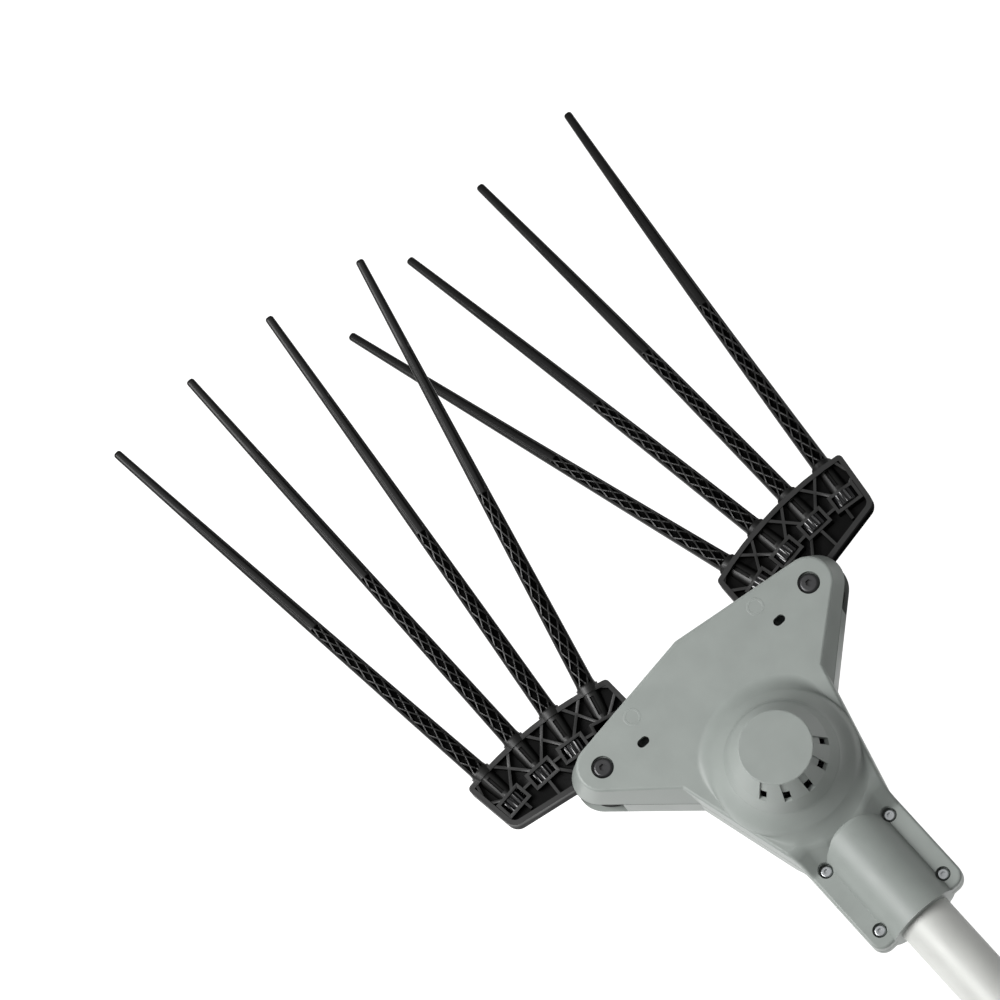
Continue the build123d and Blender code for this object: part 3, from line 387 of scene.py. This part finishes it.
# tines: flat oval rods that taper to a blunt tip, with a moulded net on the first part and two grooves
# after it; leans are the small outward bends at the tips, in the order of the tines' numbers
tine = {"stem": 0.03185, "stemRound": 0.0038, "stemStep": 0.0008, "stemEnd": -0.0001, "endRing": 0.0004,
        "collarRows": (-0.0008, -0.0002, 0.0, 0.0001),
        "rootWidth": 0.0116, "tipWidth": 0.0053, "flatness": 0.86, "square": 2.6, "crowd": 0.8, "around": 128,
        "flareWidth": 0.0126, "flareRun": 0.0040, "flarePower": 2.2,
        "tipRound": 0.0020, "tipTurn": 1.5, "tipSteps": 12, "tipLeast": 0.35,
        "netStart": 0.0012, "netEnd": 0.134, "netPitch": 0.0127, "netEdge": 0.70, "netShift": 0.72,
        "netSpan": 0.96, "netFade": 0.0008, "netMargin": 0.001, "netStep": 0.0004,
        "strand": 0.00045, "pocketWall": 0.00042, "pocket": 0.0024, "deepest": 0.6,
        "railEdge": 0.80, "railLine": 0.0003, "railWide": 0.00035, "railStart": 0.004, "railFade": 0.02,
        "grooveEnd": 0.242, "grooveFrom": 0.36, "grooveTo": 0.68, "groove": 0.0005, "grooveSide": 0.07,
        "grooveStart": 0.003, "grooveFade": 0.012,
        "plainGap": 0.0016, "plainStep": 0.0022, "plainShort": 0.004,
        "plain": 0.5, "shadeFade": 0.001, "shadePower": 1.5, "sharp": 60,
        "leans": {"left": (-0.0003, 0.0015, -0.0003, -0.0012), "right": (0.0011, -0.0029, -0.0032, 0.0038)}}


def tineAxis(name):
    # line through the middles of the two end rings: the collar's place on it, its way along, the flat
    # direction across it, and the length from the collar to the tip
    points = nodePoints(name)
    middle = points.mean(0)
    along = np.linalg.svd(points - middle, full_matrices=False)[2][0]
    along = along * np.sign(along[1])
    reach = (points - middle) @ along
    root = middleOf(points[reach < reach.min() + tine["endRing"]])
    tip = middleOf(points[reach > reach.max() - tine["endRing"]])
    along = unit(tip - root)
    across = unit(np.cross(along, (0, 0, 1)))
    return root + along * tine["stem"], along, across, np.linalg.norm(tip - root) - tine["stem"]


def between(value, start, end, startFade, endFade):
    # 1 inside the span, easing to 0 at both of its ends
    return ease((value - start) / startFade) * ease((end - value) / endFade)


def tineRelief(x, s, half):
    # depth below the oval, from the share x of the half width and the way s along: pockets lie between
    # two families of strands, where x plus and minus s count whole pitches; the net ends at a rail, and
    # grooves follow it
    aside = np.abs(x)
    count = (x + tine["netShift"]) / tine["netSpan"]
    slope = np.sqrt((1 / (tine["netSpan"] * half)) ** 2 + (1 / tine["netPitch"]) ** 2)
    pocket = np.ones_like(x * s)
    for way in (1, -1):
        turn = count + way * s / tine["netPitch"]
        gap = np.abs(turn - np.round(turn)) / slope
        pocket = np.minimum(pocket, ease((gap - tine["strand"]) / tine["pocketWall"]))
    edge = ease((tine["netEdge"] - aside) * half / tine["pocketWall"])
    depth = tine["pocket"] * pocket * edge
    depth = depth * between(s, tine["netStart"], tine["netEnd"], tine["netFade"], tine["netFade"])
    line = np.exp(-(((aside - tine["railEdge"]) * half) / tine["railWide"]) ** 2)
    rail = between(s, tine["netStart"], tine["grooveEnd"], tine["railStart"], tine["railFade"])
    lane = between(aside, tine["grooveFrom"], tine["grooveTo"], tine["grooveSide"], tine["grooveSide"])
    run = between(s, tine["netEnd"], tine["grooveEnd"], tine["grooveStart"], tine["grooveFade"])
    return depth + tine["railLine"] * line * rail + tine["groove"] * lane * run


def tineRows(length):
    # ways along from the collar: the stem, the collar, close rows in the net, wider ones after it, the tip
    stem = -tine["stem"] + np.array([0, tine["stemStep"]])
    net = np.arange(tine["netStart"] - tine["netMargin"], tine["netEnd"] + tine["netMargin"], tine["netStep"])
    plain = np.arange(net[-1] + tine["plainGap"], length - tine["plainShort"], tine["plainStep"])
    tip = length - tine["tipRound"] * (1 - np.sin(np.linspace(0, tine["tipTurn"], tine["tipSteps"])))
    return np.concatenate([stem, tine["collarRows"], net, plain, tip])[:, None]


def buildTine(name, lean, paint):
    # section: a superellipse whose half width tapers to the tip, less the relief's depth on its flat
    # sides; the stem is round; the lean grows as the square of the way along
    start, along, across, length = tineAxis(name)
    up = np.cross(across, along)
    s = tineRows(length)
    turn = fullTurn(tine["around"])[None, :]
    x = np.sign(np.cos(turn)) * np.abs(np.cos(turn)) ** tine["crowd"]
    high = np.sign(np.sin(turn)) * (1 - np.abs(x) ** tine["square"]) ** (1 / tine["square"])
    half = (tine["rootWidth"] + (tine["tipWidth"] - tine["rootWidth"]) * s / length) / 2
    flare = (tine["flareWidth"] - tine["rootWidth"]) / 2
    half = half + flare * np.clip(1 - s / tine["flareRun"], 0, 1) ** tine["flarePower"]
    blunt = np.clip((s - length + tine["tipRound"]) / tine["tipRound"], 0, 1)
    half = half * (tine["tipLeast"] + (1 - tine["tipLeast"]) * np.sqrt(1 - blunt ** 2))
    width, thick = x * half, high * (half * tine["flatness"])
    depth = tineRelief(x, s, half)
    thick = thick - np.sign(thick) * np.minimum(depth, np.abs(thick) * tine["deepest"])
    # painted shade on the net: its pockets are painted dark, its strands lit, and the plain part after the
    # net is half lit; this share goes into the map's u
    inNet = between(s, tine["netStart"], tine["netEnd"], tine["shadeFade"], tine["shadeFade"])
    inNet = inNet * (np.abs(x) < tine["netEdge"])
    pocketLit = np.clip(1 - depth / tine["pocket"], 0, 1) ** tine["shadePower"]
    height = (tine["plain"] + (1 - tine["plain"]) * inNet) * pocketLit
    inStem = s < tine["stemEnd"]
    width = np.where(inStem, tine["stemRound"] * np.cos(turn), width)
    thick = np.where(inStem, tine["stemRound"] * np.sin(turn), thick)
    sway = lean * np.clip(s / length, 0, 1) ** 2
    spots = start + s[..., None] * along + (width + sway)[..., None] * across + thick[..., None] * up
    return skinGrid(name + "_net", [spots], paint, sharp=tine["sharp"], height=height)


for side in sides:
    outward = 1 if side == "right" else -1
    for node, lean in zip(tineNodes[side], tine["leans"][side]):
        rod = buildTine(node, lean * outward, paints[slotOf[node]])
        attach(rod, bodyOf[node])
        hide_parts(node)
print("tines: 8")


# nuts: fluted rings round the tines' stems, one in each window of the comb frames
nut = {"from": -0.0320, "to": -0.02385, "round": 0.00738, "bore": 0.0038, "flutes": 16, "flute": 0.0007,
       "flutePower": 0.6, "chamfer": 0.0007, "shoulder": 0.3, "shoulderFlute": 0.5, "around": 192,
       "sharp": 38}


def buildNuts(side, paint):
    # ring section: bore, chamfered end, fluted wall, chamfered end; the wall's radius dips by a raised
    # cosine to a power below one, for narrow crests and wide hollows
    turn = fullTurn(nut["around"])[None, :]
    dip = nut["flute"] * (0.5 - 0.5 * np.cos(turn * nut["flutes"])) ** nut["flutePower"]
    chamfer, shoulder = nut["chamfer"], nut["chamfer"] * nut["shoulder"]
    inset = np.array([0, 0, shoulder, chamfer])
    s = np.concatenate([nut["from"] + inset, nut["to"] - inset[::-1]])[:, None]
    wall = np.array([nut["bore"], nut["round"] - chamfer, nut["round"] - shoulder, nut["round"]])
    fluted = np.array([0, 0, nut["shoulderFlute"], 1])
    wall, fluted = np.concatenate([wall, wall[::-1]]), np.concatenate([fluted, fluted[::-1]])
    radius = wall[:, None] - dip * fluted[:, None]
    rings = []
    for node in tineNodes[side]:
        start, along, across = tineAxis(node)[:3]
        up = np.cross(across, along)
        rings.append(start + s[..., None] * along + (radius * np.cos(turn))[..., None] * across
                     + (radius * np.sin(turn))[..., None] * up)
    return skinGrid(f"{side}_fluted_nuts", rings, paint, ring=True, sharp=nut["sharp"])


for side in sides:
    node = f"{side}_tine_nuts"
    nuts = buildNuts(side, paints[slotOf[node]])
    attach(nuts, bodyOf[node])
    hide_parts(node)
print("nuts: 8")


# comb frames: the moulding's edges are rounded
combEdge = {"merge": 0.000002, "flat": 2.0, "width": 0.0005, "limit": 32, "segments": 2}


def softenNode(node, edge, paint):
    # copy of a node, merged and with its flat faces joined again, so that its edges can take a bevel
    shape = bmesh.new()
    shape.from_mesh(nodes[node].data)
    bmesh.ops.remove_doubles(shape, verts=shape.verts, dist=edge["merge"])
    bmesh.ops.dissolve_limit(shape, angle_limit=np.radians(edge["flat"]), verts=shape.verts,
                             edges=shape.edges)
    mesh = bpy.data.meshes.new(node + "_soft")
    shape.to_mesh(mesh)
    shape.free()
    smoothMesh(mesh, edge["limit"], paint)
    piece = addObject(node + "_soft", mesh)
    bevel = piece.modifiers.new("rounded", "BEVEL")
    bevel.width, bevel.segments = edge["width"], edge["segments"]
    bevel.limit_method, bevel.angle_limit = "ANGLE", np.radians(edge["limit"])
    bevel.use_clamp_overlap = True
    bevel.harden_normals = True
    bevel.miter_outer = "MITER_ARC"
    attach(piece, bodyOf[node])
    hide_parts(node)


for side in sides:
    softenNode(f"{side}_comb_frame", combEdge, paints["comb_nylon"])
print("comb frames rounded")


# dome sweep: the corners round the foot of the motor dome are filled with soft bends; a side is the sine
# of the turn round the motor at which that bend starts, and the span of sines over which it grows
domeSweep = {"foot": 0.0465, "tier": 0.0370, "tierRise": 0.0110, "bulge": 0.0022, "cone": 0.0306,
             "coneRise": 0.0310, "frontBend": 0.0075, "frontSide": (0.15, 0.6), "rearBend": 0.0065,
             "rearSide": (0.5, 0.4), "coneBend": 0.0066, "least": 0.0002, "lift": 0.00003, "inside": 0.0012,
             "steps": 13, "around": 240}
# neck: the deck runs on behind the dome and falls to the clamp in one slope, out of which the clamp's
# barrel comes; a slope is the corner behind the pivots, its run, its drop and its round, and under is the
# shell's own slope
neck = {"slope": (0.1250, 0.0140, 0.0160, 0.0115), "under": (0.1175, 0.0140, 0.0160, 0.0120),
        "droop": 0.0049, "droopFrom": 0.0130, "droopRun": 0.0140, "start": 0.1115, "end": 0.1420,
        "half": 0.0347, "flare": 0.25, "flareFrom": 0.1255, "flareSoft": 0.0020, "edge": 0.0018,
        "edgeSteps": 7, "footSoft": 0.0020, "sunk": 0.0004, "depth": 0.0024, "barrel": 0.0228,
        "barrelIn": 0.0210, "barrelFrom": 0.1295, "domeIn": 0.0453, "hole": 0.0046, "rim": 0.0003,
        "holeTop": 0.0024, "holeLow": 0.0018, "rows": 141, "across": 253}
deckPatch = {"along": 0.02, "across": 0.06}


def deckTop():
    # the line of the two pivots, and the deck's height in a patch about it
    deck = nodePoints("upper_shell")
    line = middleOf(nodePoints("pivot_bolts"))[1]
    near = (np.abs(deck[:, 1] - line) < deckPatch["along"]) & (np.abs(deck[:, 0]) < deckPatch["across"])
    return line, deck[near, 2].max()


def bend(start, startWay, end, endWay, share):
    # quadratic curve between two points by way of the crossing of their tangents; a point is a radius plus
    # its height times 1j
    reach = (np.conj(end - start) * endWay).imag / (np.conj(startWay) * endWay).imag
    return (1 - share) ** 2 * start + 2 * share * (1 - share) * (start + reach * startWay) + share ** 2 * end


def fallFrom(back, slope):
    # height and rise of a slope at a way back from the pivots: flat, then a round, then straight down
    corner, run, drop, bow = slope
    fall = np.arctan2(drop, run)
    ahead = corner - back
    reach = bow * np.tan(fall / 2)
    way = np.clip(ahead - reach, -bow * np.sin(fall), 0)
    depth = np.sqrt(bow ** 2 - way ** 2)
    beyond = np.minimum(ahead + reach * np.cos(fall), 0)
    return depth - bow + beyond * np.tan(fall), -way / depth


def neckGround(x, back):
    # towards the sides the slope starts further ahead, by a smooth step
    droop = neck["droop"] * ease((np.abs(x) - neck["droopFrom"]) / neck["droopRun"])
    return fallFrom(back + droop, neck["slope"])


def buildDomeSweep(paint):
    # section turned about the motor: a bend from the deck to the tier's arc, the arc, a bend from the arc
    # to the cone, and the way back inside the wall; the first bend is short at the dome's two sides
    foot, top = domeSweep["foot"] + 0j, domeSweep["tier"] + domeSweep["tierRise"] * 1j
    half, bulge = abs(top - foot) / 2, domeSweep["bulge"]
    bow = (half ** 2 + bulge ** 2) / (2 * bulge)
    centre = (foot + top) / 2 - (bow - bulge) * (top - foot) / (2 * half) * -1j
    first, last = np.angle(foot - centre), np.angle(top - centre)
    cone = domeSweep["cone"] + domeSweep["coneRise"] * 1j - top
    coneWay = cone / abs(cone)
    line, deck = deckTop()
    middle = middleOf(nodePoints("motor_can"))
    turn = fullTurn(domeSweep["around"])[None, :]
    across, ahead = np.cos(turn), np.sin(turn)
    front, rear = domeSweep["frontSide"], domeSweep["rearSide"]
    run = domeSweep["least"] + domeSweep["frontBend"] * ease((ahead - front[0]) / front[1])
    run = run + domeSweep["rearBend"] * ease((-ahead - rear[0]) / rear[1])
    back = line - middle[1]
    footDrop = neckGround(foot.real * across, back - foot.real * ahead)[0]
    ground, rise = neckGround((foot.real + run) * across, back - (foot.real + run) * ahead)
    share = np.linspace(0, 1, domeSweep["steps"])[:, None]
    low = first + np.maximum(run + footDrop, 0) / bow
    high = last - domeSweep["coneBend"] / bow + 0 * turn
    lowWay, highWay = np.exp(1j * low), np.exp(1j * high)
    deckPart = bend(foot + run + 1j * ground, -1 - 1j * rise * ahead,
                    centre + bow * lowWay, 1j * lowWay, share)
    arcPart = centre + bow * np.exp(1j * (low + (high - low) * share[1:]))
    coneEnd = top + domeSweep["coneBend"] * coneWay
    conePart = bend(centre + bow * highWay, 1j * highWay, coneEnd, coneWay, share[1:])
    outer = np.concatenate([deckPart, arcPart, conePart]) + domeSweep["lift"] * (1 + 1j)
    inside = domeSweep["inside"]
    section = np.concatenate([outer, conePart[-1:] - inside, 0 * run + top.real + inside * (1 + 1j),
                              deckPart[:1] - inside * 1j])
    spots = np.stack([middle[0] + section.real * across, middle[1] + section.real * ahead,
                      deck + section.imag], -1)
    return skinGrid("dome_sweep", [spots], paint, ring=True)


sweep = buildDomeSweep(paints["housing_plastic"])
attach(sweep, "housing")
print("dome sweep: 1")


def neckPlan():
    # x of each row's section, out along the top and home along the underside, and the round of its edges
    share = np.linspace(0, 1, neck["rows"])[:, None]
    spread = neck["flareFrom"] - neck["start"] - (neck["end"] - neck["start"]) * share
    half = neck["half"] + neck["flare"] / 2 * (spread + np.sqrt(spread ** 2 + neck["flareSoft"] ** 2))
    bow = np.linspace(np.pi / 2, 0, neck["edgeSteps"], endpoint=False)[None, :]
    edge = half - neck["edge"] * (1 - np.sin(bow))
    x = (half - neck["edge"]) * np.linspace(-1, 1, neck["across"])[None, :]
    x = np.concatenate([-edge, x, edge[:, ::-1]], 1)
    rounded = np.zeros((1, x.shape[1]))
    rounded[:, :neck["edgeSteps"]] = neck["edge"] * (1 - np.cos(bow))
    rounded = rounded + rounded[:, ::-1]
    upper = np.arange(2 * x.shape[1])[None, :] < x.shape[1]
    return share, np.concatenate([x, x[:, ::-1]], 1), np.concatenate([rounded, 0 * rounded], 1), upper


def buildNeck(paint):
    # rows go back from the dome's wall to the clamp; a row's section is the slope's height from side to
    # side, rounded at both edges, and a return inside the shell's wall; under the barrel it keeps within
    # the barrel's wall, and at the two front screws it drops into the flange
    line, deck = deckTop()
    motorBack = line - middleOf(nodePoints("motor_can"))[1]
    screws = nodePoints("clamp_screws")
    screw = middleOf(screws[(screws[:, 1] > screws[:, 1].mean()) & (screws[:, 0] > 0)])
    share, x, rounded, upper = neckPlan()
    front = np.maximum(neck["start"], motorBack + np.sqrt(np.clip(neck["domeIn"] ** 2 - x ** 2, 0, None)))
    back = front + (neck["end"] - front) * share
    low = -neck["slope"][2]
    gap = neckGround(x, back)[0] - low + neck["sunk"]
    top = low - neck["sunk"] + (gap + np.sqrt(gap ** 2 + neck["footSoft"] ** 2)) / 2
    under = np.maximum(fallFrom(back, neck["under"])[0], low) - neck["depth"]
    level = np.where(upper, np.minimum(top, 0) - rounded, under)
    barrel = np.where(upper, neck["barrel"], neck["barrelIn"])
    wall = np.sqrt(np.clip(barrel ** 2 - x ** 2, 0, None)) - deck
    level = np.where(back > neck["barrelFrom"], np.maximum(level, wall), level)
    reach = np.hypot(np.abs(x) - screw[0], line - back - screw[1]) - neck["hole"]
    sinking = (neck["holeTop"] - deck - level) * (1 - ease(reach / neck["rim"]))
    level = np.where(upper, level + sinking, level)
    level = np.where(~upper & (reach < 2 * neck["rim"]), neck["holeLow"] - deck, level)
    spots = np.stack([x, line - back, deck + level + domeSweep["lift"]], -1)
    return skinGrid("neck_sweep", [spots], paint, flat=True)


neckPiece = buildNeck(paints["housing_plastic"])
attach(neckPiece, "housing")
print("neck: 1")


# parting seam: the dark line where the two shells meet, from one side of the pole round to the other
seam = {"high": 0.00045, "proud": 0.00004, "inside": 0.0006, "steps": 1800, "middleBack": 0.045,
        "poleWay": -90, "poleGap": 8.2, "rimFlat": 0.00001, "parallel": 1e-9, "slack": 0.001}


def buildSeam(paint):
    # plan line of the seam: along each direction from a middle point, the farthest crossing with an edge
    # of the upper shell's rim; a thin flat section is carried along it, square to the line
    points = nodePoints("upper_shell")
    edges = nodes["upper_shell"].data.edges
    pairs = np.empty(len(edges) * 2, int)
    edges.foreach_get("vertices", pairs)
    pairs = pairs.reshape(-1, 2)
    rim = pairs[(np.abs(points[pairs, 2]) < seam["rimFlat"]).all(1)]
    middle = 1j * (deckTop()[0] - seam["middleBack"])
    plan = points[:, 0] + points[:, 1] * 1j - middle
    start, side = plan[rim[:, 0]][None, :], (plan[rim[:, 1]] - plan[rim[:, 0]])[None, :]
    firstWay, lastWay = seam["poleWay"] + seam["poleGap"], seam["poleWay"] + 360 - seam["poleGap"]
    way = np.exp(1j * np.radians(np.linspace(firstWay, lastWay, seam["steps"])))[:, None]
    slant = (np.conj(way) * side).imag
    slant = np.where(np.abs(slant) < seam["parallel"], np.nan, slant)
    reach, share = (np.conj(start) * side).imag / slant, (np.conj(start) * way).imag / slant
    crossed = (share > -seam["slack"]) & (share < 1 + seam["slack"])
    reach = np.nanmax(np.where(crossed, reach, np.nan), axis=1)
    line = middle + reach * way[:, 0]
    outward = np.gradient(line) * -1j
    outward = (outward / np.abs(outward))[:, None]
    across = np.array([seam["proud"], seam["proud"], -seam["inside"], -seam["inside"]])[None, :]
    up = np.array([-1, 1, 1, -1])[None, :] * seam["high"] / 2
    spots = line[:, None] + outward * across
    grid = np.stack([spots.real, spots.imag, up + 0 * spots.real], -1)
    return skinGrid("parting_seam", [grid], paint)


parting = buildSeam(paints["seam_shadow"])
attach(parting, "housing")
print("parting seam: 1")


# witness rings: two faint round marks of the mould's pins on the deck
witness = {"places": ((-0.050, 0.011), (0.050, 0.011)), "round": 0.0047, "wide": 0.0009, "rise": 0.00007,
           "around": 96, "steps": 12}


def buildWitness(paint):
    # low rings on the deck: the section is a flat oval whose lower half lies inside the deck
    line, top = deckTop()
    turn = fullTurn(witness["around"])[None, :]
    bow = fullTurn(witness["steps"])[:, None]
    radius, lift = witness["round"] + witness["wide"] * np.cos(bow), witness["rise"] * np.sin(bow)
    across, ahead, high = radius * np.cos(turn), radius * np.sin(turn), top + lift + 0 * turn
    rings = [np.stack([x + across, line + y + ahead, high], -1) for x, y in witness["places"]]
    return skinGrid("witness_rings", rings, paint, ring=True)


rings = buildWitness(paints["housing_plastic"])
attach(rings, "housing")
print("witness rings: 2")
